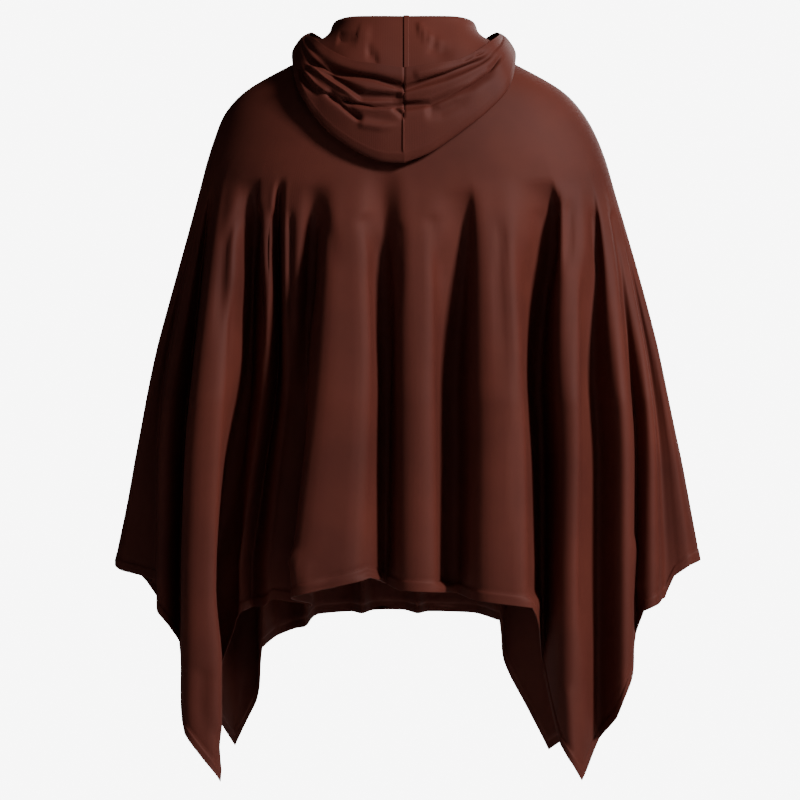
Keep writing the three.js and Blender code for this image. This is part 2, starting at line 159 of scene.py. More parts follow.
def necklineAt(side, depthColumn):
    # the neckline is an ellipse from above: its height, and its side on the smooth garment
    side = np.asarray(side, float)
    reach = garment["neckBehind"] if depthColumn == "behind" else garment["neckBefore"]
    x = garment["neckHalf"] * side
    y = reach * np.sqrt(np.maximum(0, 1 - side * side))
    low = np.full_like(side, garment["yokeZ"])
    high = np.zeros_like(side)
    for _ in range(garment["neckHalvings"]):
        z = (low + high) / 2
        corner = cornerAt(z)
        inside = np.abs(x / halfAt(z)) ** corner + (y / depthAt[depthColumn](z)) ** corner < 1
        low, high = np.where(inside, z, low), np.where(inside, high, z)
    return high, np.clip(x / halfAt(high), -1, 1)


def smoothLine(side, z, depthColumn, neck):
    neckZ, neckSide = neck
    share = smoothStep((neckZ - z) / (neckZ - garment["yokeZ"]), 0, 1)
    return smoothPoint(neckSide + (side - neckSide) * share, z, depthColumn)


# ---- the lines that a panel's cloth follows downwards ----
def foldLines(folds, depthColumn):
    yokeHalf = float(halfAt(garment["yokeZ"]))
    lines = []

    def armLine(side, edge):
        mid, low = (float(acrossAt(side, garment[z], depthColumn)) for z in ("midZ", "lowZ"))
        return (side, garment["yokeZ"], 1, edge + garment["wristSlack"], mid, 0, low, 0)

    lines.append(armLine(-1, folds[0]["left"]))
    for i, fold in enumerate(folds):
        after = folds[i + 1] if i + 1 < len(folds) else None
        before = folds[i - 1]["yokeX"] if i else -yokeHalf
        besideX = {-1: before, 0: 0, 1: after["yokeX"] if after else yokeHalf}
        edges = {-1: fold["left"], 0: (fold["left"] + fold["right"]) / 2, 1: fold["right"]}
        for across in (-1, 0, 1):
            share = garment["shoulderShare"] * abs(across)
            yokeX = fold["yokeX"] + (besideX[across] - fold["yokeX"]) * share
            high = 1 - garment["crestRound"] * across**2
            mid = (fold["midX"] + across * fold["midHalf"], -fold["midOut"] * high)
            low = (fold["lowX"] + across * fold["lowHalf"], -fold["lowOut"] * high)
            lines.append((yokeX / yokeHalf, fold["start"], 1, edges[across], *mid, *low))
        if after:
            midX = (fold["midX"] + fold["midHalf"] + after["midX"] - after["midHalf"]) / 2
            side = fold["yokeGutter"] / yokeHalf
            trough = (side, fold["start"], garment["troughEase"], fold["hem"])
            lines.append((*trough, midX, -fold["gutter"], fold["gutterX"], -fold["gutter"]))
    lines.append(armLine(1, folds[-1]["right"]))
    names = ["side", "start", "ease", "edge", "midX", "midY", "lowX", "lowY"]
    return dict(zip(names, np.array(lines, float).T))


def softened(value, round):
    # follows a value up to 1 and stays there, turning smoothly between the two
    near = np.clip((1 + round - value) / (2 * round), 0, 1)
    return np.where(value < 1 - round, value, 1 - round * near**2)


def linePoint(lines, index, z, depthColumn):
    side, start = lines["side"][index], lines["start"][index]
    neck = (lines["neckZ"][index], lines["neckSide"][index])
    point = smoothLine(side, z, depthColumn, neck)
    share = (garment["midZ"] - z) / (garment["midZ"] - garment["lowZ"])
    share = np.minimum(1, 1 - softened(1 - share, garment["bendRound"]))
    narrowed = softened(halfAt(z) / halfAt(garment["midZ"]), garment["widthRound"])
    hungX = (lines["midX"][index] + (lines["lowX"][index] - lines["midX"][index]) * share) * narrowed
    hungY = lines["midY"][index] + (lines["lowY"][index] - lines["midY"][index]) * share
    grown = np.clip((start - z) / (start - garment["midZ"]), 0, 1)
    towardsX = smoothStep(garment["foldTop"] - z, 0, garment["foldTop"] - garment["midZ"])
    towardsY = 1 - (1 - grown) ** lines["ease"][index]
    point[..., 0] += (hungX - point[..., 0]) * towardsX
    point[..., 1] += (hungY - point[..., 1]) * towardsY
    return point


def besideLine(lines, index, z, depthColumn):
    # past either arm line the cloth is led on, mirrored, so that the panels meet smoothly
    last = len(lines["side"]) - 1
    past = (index < 0) | (index > last)
    point = linePoint(lines, np.where(index < 0, 1, np.where(index > last, last - 1, index)), z, depthColumn)
    point[..., 1] = np.where(past, -point[..., 1], point[..., 1])
    return point


def panelPoints(shape, folds, depthColumn):
    # a grid of points, a row from arm to arm at each step from the neckline to the hem
    lines = foldLines(folds, depthColumn)
    count = len(lines["side"])
    lines["neckZ"], lines["neckSide"] = necklineAt(lines["side"], depthColumn)
    places = []
    for line in range(count - 1):
        steps = shape["crestColumns"] if line % 4 in (1, 2) else shape["flankColumns"]
        places += [line + i / steps for i in range(steps)]
    at = np.array(places + [count - 1.0])[None, :]
    topRows = np.linspace(0, 1, shape["topRows"], endpoint=False)[:, None] ** shape["topCrowding"]
    skirtRows = np.linspace(0, 1, shape["skirtRows"], endpoint=False)[:, None]
    hemRows = np.linspace(1, 0, shape["hemRows"])[:, None] * shape["hemWidth"]

    index = np.minimum(np.floor(at).astype(int), count - 2)
    share = at - index

    def between(name):
        return lines[name][index] * (1 - share) + lines[name][index + 1] * share

    side, edge = between("side"), between("edge")
    neck = necklineAt(side, depthColumn)
    yokeZ = garment["yokeZ"]
    hemTop = edge + shape["hemWidth"]
    z = np.concatenate([
        neck[0] + (yokeZ - neck[0]) * topRows, yokeZ + (hemTop - yokeZ) * skirtRows, edge + hemRows,
    ])
    index, share = np.broadcast_to(index, z.shape), np.broadcast_to(share, z.shape)
    smooth = smoothLine(np.broadcast_to(side, z.shape), z, depthColumn, neck)
    four = [besideLine(lines, index + step, z, depthColumn) for step in (-1, 0, 1, 2)]
    folded = splinePoint(*four, share)
    weight = np.clip((garment["foldTop"] - z) / garment["foldBlend"], 0, 1)[..., None]
    points = smooth * (1 - weight) + folded * weight
    points[..., 1] = np.minimum(points[..., 1], -garment["armGap"] / 2)
    return points


def gridNormals(points):
    down, across = np.gradient(points, axis=0), np.gradient(points, axis=1)
    normals = np.cross(down, across)
    return normals / np.maximum(np.linalg.norm(normals, axis=-1, keepdims=True), 1e-9)


def walked(points, axis):
    # how far each point of a grid lies along its row or column, in millimetres
    steps = np.linalg.norm(np.diff(points, axis=axis), axis=-1)
    start = np.zeros_like(np.take(steps, [0], axis=axis))
    return np.concatenate([start, np.cumsum(steps, axis=axis)], axis=axis)


def creased(points, creases, facing=1, weight=1):
    # Draws soft troughs into the cloth along paths seen from behind, or with a negative depth
    # raises ridges on it. Soft is the width on the left of the path as it runs.
    normals = gridNormals(points) * facing
    places = points[..., [0, 2]]
    moved = np.zeros(places.shape[:2])
    for crease in creases:
        path = np.array(crease["path"], float)
        steps = np.linalg.norm(np.diff(path, axis=0), axis=1)
        nearest = np.full(moved.shape, np.inf)
        along = np.zeros_like(moved)
        leftwards = np.zeros_like(moved)
        passed = 0
        for start, end, step in zip(path, path[1:], steps):
            heading = (end - start) / step
            offset = places - start
            reached = np.clip(offset @ heading, 0, step)
            away = offset - reached[..., None] * heading
            distance = np.linalg.norm(away, axis=-1)
            closer = distance < nearest
            nearest = np.where(closer, distance, nearest)
            along = np.where(closer, passed + reached, along)
            leftwards = np.where(closer, heading[0] * away[..., 1] - heading[1] * away[..., 0], leftwards)
            passed += step
        share = along / passed
        width = np.where(leftwards > 0, crease.get("soft", crease["width"]), crease["width"])
        begun = smoothStep(share, 0, crease.get("begin", 0.15))
        ended = 1 - smoothStep(share, 1 - crease.get("end", 0.5), 1)
        moved += crease["depth"] * begun * ended * np.exp(-((nearest / width) ** 2))
    return points - normals * (moved * weight)[..., None]


def hemmed(points, shape):
    # the turned-in hem is a little thicker, and its stitches draw it in
    hem = np.arange(shape["hemRows"]) / (shape["hemRows"] - 1)
    pulled = shape["stitchPull"] * np.exp(-((hem / shape["stitchReach"]) ** 2))
    swell = shape["hemSwell"] * np.minimum(1, hem * shape["swellSteepness"]) - pulled
    raised = np.zeros(len(points))
    raised[-shape["hemRows"] :] = swell
    return points + gridNormals(points) * raised[:, None, None]


# ---- making pieces ----
def clothPiece(name, points, node, thickness, whole=True):
    # a grid bent into a sheet of cloth, with a UV map in metres along the cloth
    rows, columns = points.shape[:2]
    grid = bmesh.new()
    bmesh.ops.create_grid(grid, x_segments=columns - 1, y_segments=rows - 1, size=0.5)
    mesh = bpy.data.meshes.new(name)
    grid.to_mesh(mesh)
    grid.free()
    co = np.empty(len(mesh.vertices) * 3)
    mesh.vertices.foreach_get("co", co)
    co = co.reshape(-1, 3)
    column = np.rint((co[:, 0] + 0.5) * (columns - 1)).astype(int)
    row = np.rint((0.5 - co[:, 1]) * (rows - 1)).astype(int)
    mesh.vertices.foreach_set("co", (points[row, column] * mm).ravel())
    # the knit follows the lowest row across and each column down
    across = walked(points, 1)[-1][None, :].repeat(rows, 0)
    down = walked(points, 0)
    corners = np.empty(len(mesh.loops), int)
    mesh.loops.foreach_get("vertex_index", corners)
    uv = np.stack([across[row, column][corners], -down[row, column][corners]], -1) * mm
    layer = mesh.uv_layers.new(name="cloth")
    layer.data.foreach_set("uv", uv.ravel())
    mesh.polygons.foreach_set("use_smooth", np.ones(len(mesh.polygons), bool))
    mesh.update()
    piece = bpy.data.objects.new(name, mesh)
    bpy.context.collection.objects.link(piece)
    wall = piece.modifiers.new("cloth", "SOLIDIFY")
    wall.thickness = thickness * mm
    wall.offset = 0
    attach(piece, "root")
    if whole:
        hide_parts(node)
    return piece


def stitchRow(name, path, normals, shape):
    # a row of short stitches along a path on the cloth, each a slim bead lying on it
    steps = np.linalg.norm(np.diff(path, axis=0), axis=-1)
    along = np.concatenate([[0], np.cumsum(steps)])
    count = int(along[-1] / shape["pitch"])
    at = (np.arange(count) + 0.5) * shape["pitch"]
    places = np.stack([np.interp(at, along, path[:, i]) for i in range(3)], -1)
    ahead = np.stack([np.interp(at + 1, along, path[:, i]) for i in range(3)], -1)
    faces = np.stack([np.interp(at, along, normals[:, i]) for i in range(3)], -1)
    row, few = bmesh.new(), bmesh.new()
    mesh = bpy.data.meshes.new(name)
    for i, (place, front, face) in enumerate(zip(places, ahead, faces)):
        tangent = Vector(front - place).normalized()
        up = Vector(face).normalized()
        side = up.cross(tangent).normalized()
        up = tangent.cross(side)
        size = (shape["length"] / 2 * mm, shape["width"] / 2 * mm, shape["height"] / 2 * mm)
        turn = Matrix((tangent, side, up)).transposed().to_4x4()
        spot = Matrix.Translation(Vector(place) * mm + up * shape["lift"] * mm)
        squeeze = Matrix.Diagonal((*size, 1))
        bmesh.ops.create_uvsphere(
            few, u_segments=shape["sides"], v_segments=shape["rings"], radius=1,
            matrix=spot @ turn @ squeeze,
        )
        if (i + 1) % shape["batch"] == 0 or i == count - 1:
            few.to_mesh(mesh)
            few.clear()
            row.from_mesh(mesh)
    few.free()
    row.to_mesh(mesh)
    row.free()
    mesh.polygons.foreach_set("use_smooth", np.ones(len(mesh.polygons), bool))
    piece = bpy.data.objects.new(name, mesh)
    bpy.context.collection.objects.link(piece)
    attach(piece, "root")
    return piece


# ---- the back ----
# A row for each fold, from the left arm to the right. yokeX, midX and lowX say where its crest
# runs at the yoke, the waist and the wrists. midHalf and lowHalf are half the crest's width,
# midOut and lowOut how far it stands from the shoulder line, and start where it begins. left
# and right are the heights of its edge at its two sides, and yokeGutter, gutterX, gutter and hem
# place the trough on its right.
backFolds = [
    {"yokeX": -269, "midX": -330, "midHalf": 5, "midOut": 32, "lowX": -352, "lowHalf": 13, "lowOut": 28,
     "start": -262, "left": -687, "right": -694, "yokeGutter": -266, "gutterX": -320, "gutter": 28,
     "hem": -700},
    {"yokeX": -263, "midX": -304, "midHalf": 7, "midOut": 72, "lowX": -308, "lowHalf": 7, "lowOut": 68,
     "start": -195, "left": -738, "right": -756, "yokeGutter": -254, "gutterX": -289, "gutter": 36,
     "hem": -780},
    {"yokeX": -234, "midX": -244, "midHalf": 24, "midOut": 134, "lowX": -254, "lowHalf": 22, "lowOut": 128,
     "start": -188, "left": -888, "right": -948, "yokeGutter": -194, "gutterX": -246, "gutter": 24,
     "hem": -850},
    {"yokeX": -178, "midX": -182, "midHalf": 5, "midOut": 76, "lowX": -212, "lowHalf": 5, "lowOut": 56,
     "start": -188, "left": -748, "right": -738, "yokeGutter": -165, "gutterX": -196, "gutter": 26,
     "hem": -734},
    {"yokeX": -150, "midX": -150, "midHalf": 6, "midOut": 74, "lowX": -174, "lowHalf": 6, "lowOut": 52,
     "start": -195, "left": -732, "right": -722, "yokeGutter": -118, "gutterX": -118, "gutter": 66,
     "hem": -730},
    {"yokeX": -80, "midX": -75, "midHalf": 38, "midOut": 150, "lowX": -91, "lowHalf": 49, "lowOut": 158,
     "start": -172, "left": -714, "right": -690, "yokeGutter": -30, "gutterX": -23, "gutter": 98,
     "hem": -700},
    {"yokeX": 14, "midX": 18, "midHalf": 22, "midOut": 146, "lowX": 19, "lowHalf": 22, "lowOut": 154,
     "start": -200, "left": -706, "right": -708, "yokeGutter": 78, "gutterX": 66, "gutter": 88,
     "hem": -712},
    {"yokeX": 108, "midX": 125, "midHalf": 30, "midOut": 152, "lowX": 126, "lowHalf": 34, "lowOut": 162,
     "start": -188, "left": -718, "right": -727, "yokeGutter": 186, "gutterX": 178, "gutter": 52,
     "hem": -806},
    {"yokeX": 218, "midX": 213, "midHalf": 14, "midOut": 142, "lowX": 210, "lowHalf": 13, "lowOut": 140,
     "start": -192, "left": -900, "right": -945, "yokeGutter": 241, "gutterX": 248, "gutter": 78,
     "hem": -900},
    {"yokeX": 252, "midX": 278, "midHalf": 9, "midOut": 120, "lowX": 278, "lowHalf": 9, "lowOut": 120,
     "start": -195, "left": -868, "right": -820, "yokeGutter": 260, "gutterX": 296, "gutter": 60,
     "hem": -770},
    {"yokeX": 264, "midX": 314, "midHalf": 6, "midOut": 80, "lowX": 314, "lowHalf": 8, "lowOut": 84,
     "start": -262, "left": -736, "right": -728, "yokeGutter": 267, "gutterX": 336, "gutter": 32,
     "hem": -722},
    {"yokeX": 269, "midX": 337, "midHalf": 4, "midOut": 36, "lowX": 359, "lowHalf": 10, "lowOut": 32,
     "start": -262, "left": -694, "right": -680, "yokeGutter": 0, "gutterX": 0, "gutter": 0, "hem": 0},
]

# Creases between and on the folds, each from its top down, and then those at the hem.
backCreases = [
    {"path": [(-33, -250), (-30, -400), (-35, -560), (-43, -692)], "width": 11, "depth": 9, "end": 0.02},
    {"path": [(48, -250), (51, -400), (53, -560), (56, -704)], "width": 11, "depth": 9, "end": 0.02},
    {"path": [(160, -250), (163, -400), (164, -560), (166, -720)], "width": 10, "depth": 9, "end": 0.02},
    {"path": [(229, -270), (232, -400), (230, -560), (228, -800)], "width": 8, "depth": 8, "end": 0.2},
    {"path": [(-216, -300), (-214, -450), (-222, -620), (-226, -800)], "width": 13, "depth": 10,
     "end": 0.2},
    {"path": [(-187, -211), (-186, -266), (-183, -341), (-178, -442)], "width": 5, "depth": 8},
    {"path": [(-167, -222), (-171, -266), (-172, -329)], "width": 4, "depth": 5},
    {"path": [(-144, -220), (-144, -266), (-145, -341), (-138, -417)], "width": 4.5, "depth": 6},
    {"path": [(-113, -231), (-117, -279), (-120, -341), (-130, -404)], "width": 6, "depth": 6},
    {"path": [(-208, -220), (-226, -266), (-232, -341), (-235, -417)], "width": 6, "depth": 4},
    {"path": [(-108, -222), (-92, -266), (-88, -316)], "width": 9, "depth": 2.5},
    {"path": [(-54, -231), (-40, -266), (-25, -304)], "width": 9, "depth": 3},
    {"path": [(-8, -235), (-4, -266), (-6, -341), (-5, -379)], "width": 5, "depth": 2},
    {"path": [(34, -229), (40, -266), (44, -330)], "width": 9, "depth": 3},
    {"path": [(120, -231), (122, -266), (120, -316), (124, -404), (124, -467)], "width": 5, "depth": 3},
    {"path": [(147, -222), (147, -291), (148, -341), (152, -404), (144, -517), (143, -668)],
     "width": 6, "depth": 3, "end": 0.2},
    {"path": [(171, -222), (172, -304)], "width": 5, "depth": 3},
    {"path": [(192, -201), (190, -266), (187, -341)], "width": 5, "depth": 6},
    {"path": [(211, -210), (208, -266), (203, -316)], "width": 4.5, "depth": 6},
    {"path": [(241, -220), (243, -266), (250, -329)], "width": 5, "depth": 4},
    {"path": [(265, -220), (273, -266), (281, -316)], "width": 4, "depth": 3},
    # at the hem
    {"path": [(-150, -640), (-128, -690), (-96, -722)], "width": 9, "soft": 5, "depth": -5, "begin": 0.3,
     "end": 0.02},
    {"path": [(-118, -660), (-108, -700), (-86, -718)], "width": 4, "depth": 4, "begin": 0.3, "end": 0.02},
    {"path": [(-100, -684), (-84, -690), (-72, -686)], "width": 2.5, "depth": 1.5},
    {"path": [(-252, -800), (-256, -850), (-250, -900)], "width": 10, "depth": 3},
    {"path": [(-236, -880), (-230, -910), (-236, -940)], "width": 4, "depth": 3, "end": 0.1},
    {"path": [(290, -640), (296, -680), (300, -716)], "width": 5, "depth": -3, "end": 0.1},
    {"path": [(205, -820), (209, -870), (212, -930)], "width": 6, "depth": -3, "end": 0.1},
]

backCloth = {
    "crestColumns": 4,  # mesh columns from a crest's middle to its side
    "flankColumns": 7,  # and from there to the trough
    "topRows": 44,
    "topCrowding": 1.4,  # how much closer the rows lie towards the neckline
    "skirtRows": 102,
    "hemRows": 12,
    "hemWidth": 14,
    "hemSwell": 0.5,
    "swellSteepness": 6,
    "stitchPull": 0.7,
    "stitchReach": 0.12,  # the share of the hem that the stitches draw in
    "flat": (1.70, 0.73),  # metres
}
hemStitch = {
    "pitch": 3.4,
    "length": 2.4,
    "width": 0.6,
    "height": 0.4,
    "lift": 0.55,
    "sides": 6,
    "rings": 4,
    "batch": 25,  # how many are made before they join the row, which keeps this quick
}


def hemStitches(name, points, shape):
    # the stitches run along the top of the turned-in hem
    row = -shape["hemRows"]
    return stitchRow(name, points[row], gridNormals(points)[row], hemStitch)


backPoints = hemmed(creased(panelPoints(backCloth, backFolds, "behind"), backCreases), backCloth)
back = clothPiece("back", backPoints, "back_panel", garment["clothThickness"])
backStitches = hemStitches("back.hemStitches", backPoints, backCloth)
print("the back hangs")

# ---- the front ----
# As for the back, with left and right as seen when the front is faced.
frontFolds = [
    {"yokeX": -267, "midX": -334, "midHalf": 4, "midOut": 36, "lowX": -358, "lowHalf": 11, "lowOut": 34,
     "start": -262, "left": -682, "right": -694, "yokeGutter": -261, "gutterX": -336, "gutter": 30,
     "hem": -704},
    {"yokeX": -254, "midX": -306, "midHalf": 8, "midOut": 84, "lowX": -310, "lowHalf": 8, "lowOut": 78,
     "start": -200, "left": -738, "right": -756, "yokeGutter": -245, "gutterX": -288, "gutter": 42,
     "hem": -790},
    {"yokeX": -236, "midX": -262, "midHalf": 13, "midOut": 124, "lowX": -262, "lowHalf": 13, "lowOut": 122,
     "start": -195, "left": -836, "right": -884, "yokeGutter": -214, "gutterX": -228, "gutter": 66,
     "hem": -900},
    {"yokeX": -192, "midX": -174, "midHalf": 24, "midOut": 138, "lowX": -166, "lowHalf": 28, "lowOut": 134,
     "start": -200, "left": -936, "right": -826, "yokeGutter": -140, "gutterX": -126, "gutter": 62,
     "hem": -758},
    {"yokeX": -84, "midX": -70, "midHalf": 26, "midOut": 150, "lowX": -64, "lowHalf": 30, "lowOut": 156,
     "start": -220, "left": -754, "right": -752, "yokeGutter": -30, "gutterX": -18, "gutter": 108,
     "hem": -752},
    {"yokeX": 22, "midX": 22, "midHalf": 20, "midOut": 148, "lowX": 20, "lowHalf": 20, "lowOut": 156,
     "start": -240, "left": -750, "right": -750, "yokeGutter": 60, "gutterX": 56, "gutter": 106,
     "hem": -752},
    {"yokeX": 96, "midX": 94, "midHalf": 20, "midOut": 152, "lowX": 94, "lowHalf": 22, "lowOut": 156,
     "start": -215, "left": -752, "right": -756, "yokeGutter": 130, "gutterX": 130, "gutter": 66,
     "hem": -766},
    {"yokeX": 160, "midX": 158, "midHalf": 10, "midOut": 126, "lowX": 158, "lowHalf": 12, "lowOut": 112,
     "start": -200, "left": -772, "right": -782, "yokeGutter": 188, "gutterX": 187, "gutter": 56,
     "hem": -794},
    {"yokeX": 214, "midX": 214, "midHalf": 15, "midOut": 136, "lowX": 212, "lowHalf": 14, "lowOut": 132,
     "start": -200, "left": -870, "right": -930, "yokeGutter": 232, "gutterX": 247, "gutter": 66,
     "hem": -882},
    {"yokeX": 246, "midX": 268, "midHalf": 10, "midOut": 112, "lowX": 274, "lowHalf": 10, "lowOut": 108,
     "start": -205, "left": -846, "right": -806, "yokeGutter": 254, "gutterX": 296, "gutter": 44,
     "hem": -776},
    {"yokeX": 260, "midX": 304, "midHalf": 6, "midOut": 72, "lowX": 314, "lowHalf": 7, "lowOut": 70,
     "start": -262, "left": -752, "right": -734, "yokeGutter": 265, "gutterX": 334, "gutter": 28,
     "hem": -708},
    {"yokeX": 269, "midX": 330, "midHalf": 4, "midOut": 34, "lowX": 355, "lowHalf": 10, "lowOut": 30,
     "start": -262, "left": -696, "right": -684, "yokeGutter": 0, "gutterX": 0, "gutter": 0, "hem": 0},
]
frontCreases = [
    {"path": [(-212, -215), (-210, -270), (-204, -350)], "width": 5, "depth": 6},
    {"path": [(-150, -225), (-146, -280), (-140, -350), (-138, -430)], "width": 6, "depth": 6},
    {"path": [(-108, -230), (-100, -290), (-92, -340)], "width": 8, "depth": 3},
    {"path": [(-52, -240), (-44, -300), (-40, -380)], "width": 7, "depth": 3},
    {"path": [(58, -235), (60, -300), (62, -400), (60, -520)], "width": 7, "depth": 4},
    {"path": [(122, -220), (124, -280), (128, -360)], "width": 5, "depth": 5},
    {"path": [(186, -215), (188, -270), (186, -340)], "width": 5, "depth": 6},
    {"path": [(226, -210), (232, -260), (238, -320)], "width": 4.5, "depth": 5},
    # at the hem
    {"path": [(-176, -880), (-170, -905), (-172, -930)], "width": 5, "depth": 3, "end": 0.1},
    {"path": [(216, -840), (220, -880), (224, -915)], "width": 6, "depth": -3, "end": 0.1},
    {"path": [(-64, -690), (-60, -720), (-54, -745)], "width": 6, "depth": 3, "end": 0.02},
    {"path": [(28, -700), (34, -725), (30, -748)], "width": 7, "depth": -3, "end": 0.02},
]
# the front is cut and meshed like the back
frontCloth = dict(backCloth)
frontPoints = hemmed(creased(panelPoints(frontCloth, frontFolds, "before"), frontCreases), frontCloth)
frontPoints = frontPoints * (-1, -1, 1)
front = clothPiece("front", frontPoints, "front_panel", garment["clothThickness"])
frontStitches = hemStitches("front.hemStitches", frontPoints, frontCloth)
print("the front hangs")

# ---- the hood ----
# Sections of the hood's left half around the neck, from the nape at 0 degrees to the throat.
hoodStations = [
    {"turn": 0, "top": (0, -63, 24), "bottom": (0, -135, -172), "rim": (0, -135, -49), "bulge": 17,
     "belly": 5, "roll": 5},
    {"turn": 20, "top": (-36, -61, 24.5), "bottom": (-37, -134, -168), "rim": (-36, -134, -44), "bulge": 17,
     "belly": 6, "roll": 5},
    {"turn": 40, "top": (-68, -50, 25), "bottom": (-76, -131, -146), "rim": (-67, -126, -38), "bulge": 16,
     "belly": 7, "roll": 5},
    {"turn": 60, "top": (-86, -28, 23), "bottom": (-108, -122, -115), "rim": (-94, -110, -24), "bulge": 14,
     "belly": 6, "roll": 5},
    {"turn": 78, "top": (-92, -6, 19), "bottom": (-132, -106, -76), "rim": (-112, -86, -9), "bulge": 12,
     "belly": 4, "roll": 5},
    {"turn": 95, "top": (-91, 14, 13), "bottom": (-142, -62, -37), "rim": (-122, -46, 2), "bulge": 10,
     "belly": 3, "roll": 5},
    {"turn": 112, "top": (-86, 36, 2), "bottom": (-141, -8, -13), "rim": (-118, 0, 10), "bulge": 8,
     "belly": 3, "roll": 4.5},
    {"turn": 134, "top": (-66, 62, -20), "bottom": (-104, 56, -24), "rim": (-94, 58, -2), "bulge": 4,
     "belly": 2, "roll": 4},
    {"turn": 158, "top": (-34, 86, -48), "bottom": (-50, 98, -58), "rim": (-56, 104, -48), "bulge": 1,
     "belly": 1, "roll": 2.5},
    {"turn": 180, "top": (0, 92, -62), "bottom": (0, 101, -71), "rim": (0, 109, -82), "bulge": 0,
     "belly": 0, "roll": 1.2},
]
# How the cloth rounds the top roll, outwards and upwards from its top, in roll radii.
topRoll = [(-1, -2), (-0.7, -0.5), (0, 0), (0.8, -0.5), (1.8, -1.8)]

# Creases between the swags of the bag, as shares of the way from its bottom to its rim, at the
# centre seam and at the side, between two turns.
leftCreases = [
    {"seam": 0.8, "side": 0.74, "width": 0.07, "depth": 4, "from": 0, "to": 105},
    {"seam": 0.6, "side": 0.52, "width": 0.08, "depth": 4, "from": 0, "to": 100},
    {"seam": 0.38, "side": 0.32, "width": 0.08, "depth": 3, "from": 16, "to": 90},
]
rightCreases = [
    {"seam": 0.8, "side": 0.76, "width": 0.07, "depth": 4, "from": 0, "to": 105},
    {"seam": 0.58, "side": 0.56, "width": 0.08, "depth": 4, "from": 0, "to": 84},
]
# Sharper creases and ridges on the bag, seen from behind.
leftBag = [
    {"path": [(-131, -34), (-99, -49), (-68, -58), (-36, -64), (3, -76)], "width": 3, "soft": 5,
     "depth": 5, "end": 0.02},
    {"path": [(-106, -51), (-76, -70), (-53, -86), (-14, -88), (2, -86)], "width": 4, "soft": 8,
     "depth": 5, "end": 0.1},
    {"path": [(-124, -41), (-103, -58), (-78, -77), (-55, -91)], "width": 2.5, "depth": -3.5, "end": 0.3},
    {"path": [(-84, -88), (-66, -95), (-40, -98), (3, -96)], "width": 3, "soft": 4, "depth": 5, "end": 0.02},
    {"path": [(-131, -46), (-112, -67), (-87, -86), (-74, -98), (-56, -116)], "width": 3, "depth": -3,
     "end": 0.3},
    {"path": [(-100, -78), (-80, -95), (-68, -106), (-52, -118)], "width": 3, "soft": 5, "depth": 6,
     "end": 0.15},
    {"path": [(-137, -44), (-126, -64), (-106, -86)], "width": 4, "depth": 4},
    {"path": [(-14, -99), (-4, -108), (2, -118)], "width": 4, "depth": 3},
    {"path": [(-60, -120), (-30, -124), (2, -122)], "width": 5, "depth": -2},
]
rightBag = [
    {"path": [(-3, -76), (25, -67), (52, -58), (77, -47), (108, -33), (124, -24)], "width": 5, "soft": 3,
     "depth": 4.5, "begin": 0.02, "end": 0.3},
    {"path": [(-3, -96), (33, -93), (54, -84), (83, -71), (121, -42)], "width": 7, "soft": 3, "depth": 5,
     "begin": 0.02, "end": 0.2},
    {"path": [(24, -104), (46, -104), (70, -93), (92, -75)], "width": 9, "depth": 3.5},
    {"path": [(106, -52), (118, -38), (126, -26)], "width": 3, "depth": 4},
    {"path": [(90, -32), (104, -25)], "width": 2, "depth": 1.5},
    {"path": [(74, -40), (88, -33)], "width": 2, "depth": 1},
    {"path": [(10, -60), (40, -52), (70, -40)], "width": 6, "depth": -1.5},
]
# Dents of the part at the nape, which shows its inside above the rim.
leftNape = [
    {"path": [(-86, -4), (-72, -8), (-58, -8)], "width": 5, "soft": 3, "depth": 4},
    {"path": [(-48, -22), (-38, -32), (-30, -44)], "width": 5, "soft": 3, "depth": 3.5},
    {"path": [(-60, 2), (-40, -4)], "width": 9, "depth": -2},
    {"path": [(3, 10), (3, -60)], "width": 3, "depth": 1.5, "begin": 0.05, "end": 0.05},
]
rightNape = [
    {"path": [(14, 14), (24, 0), (36, -12), (64, -21)], "width": 2.5, "soft": 6, "depth": -3, "end": 0.4},
    {"path": [(30, -14), (44, -24), (66, -28)], "width": 8, "depth": 2.5},
]
hoodCloth = {
    "columns": 130,
    "rows": 230,
    "crowding": 1.5,  # how much closer the columns lie towards the nape
    "crispness": 1.3,  # how deep the drawn creases are pressed
    "seamGap": 0.02,  # between the hood's two halves
    "standEase": 0.35,  # where the cloth begins to round, on its way up to the top roll
    "bagPoints": 30,
    "bottomRise": 1.6,  # how far the fold at the bag's bottom reaches up, in roll radii
    "sideCrease": 0.4,  # how deep the creases still are at the side
    "fadeIn": 16,  # the degrees over which they begin and end
    "fadeOut": 20,
    # where along a profile, in its points from the neck seam on, each part comes in and goes out
    "bagBegins": (13.2, 15),
    "napeBegins": (4, 6),
    "napeEnds": (9, 11),
    "allowanceSpan": (2.5, 10.5),
    "flat": (0.24, 0.36),  # metres
    "area": 0.080,  # square metres
}
# The centre seam is a groove, which turns into a standing fin at two heights below the origin.
centreSeam = {
    "finHeight": 1.7,
    "finAt": 1,
    "finWidth": 1.1,
    "grooveDepth": 1.2,
    "grooveWidth": 1.6,
    "turns": (108, 118),
}
